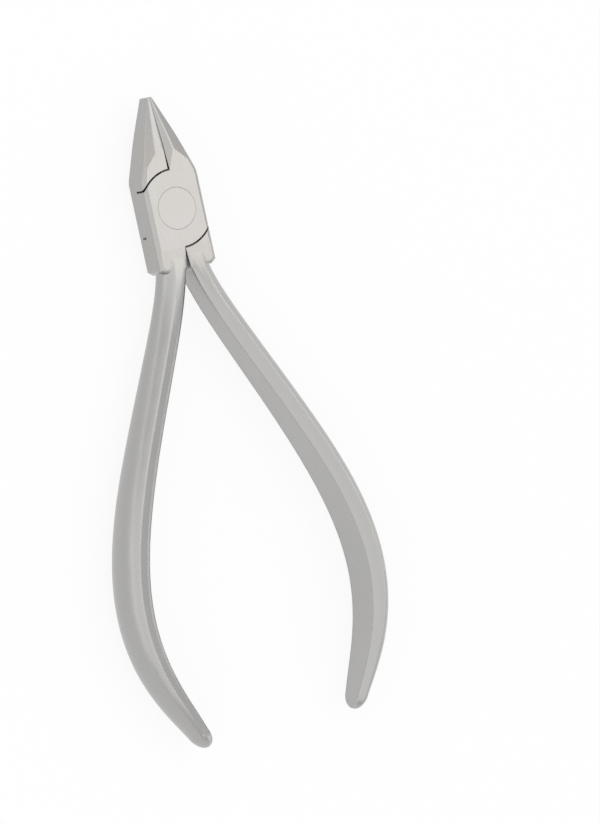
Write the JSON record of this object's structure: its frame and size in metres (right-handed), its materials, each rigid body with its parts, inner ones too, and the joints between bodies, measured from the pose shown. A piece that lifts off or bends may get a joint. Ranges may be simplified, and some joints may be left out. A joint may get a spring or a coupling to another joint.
{
  "type": "orthodontic pliers",
  "caption": "Satin steel orthodontic pliers: tapering square-tipped beaks, lapped joint turning on a flush rivet, and bowed handles that open and close the beaks.",
  "frame": {"origin": "on the pivot axis at the rear face of the joint", "axes": "+Y along the tool from the handles to the beak tips, +Z out of the front face along the pivot axis, +X to the right seen from the front"},
  "size_m": [0.06, 0.1298, 0.0113],
  "materials": {
    "lever_steel": "satin",
    "rivet_steel": "satin"
  },
  "bodies": {
    "front_lever": {"front_lever": "lever_steel"},
    "rear_lever": {"rear_lever": "lever_steel", "pivot_rivet": "rivet_steel"}
  },
  "joints": [
    {"name": "beak_hinge", "type": "hinge", "parent": "front_lever", "child": "rear_lever", "pos_m": [0, 0, 0], "axis": [0, 0, 1], "range_deg": [0, 45]}
  ]
}
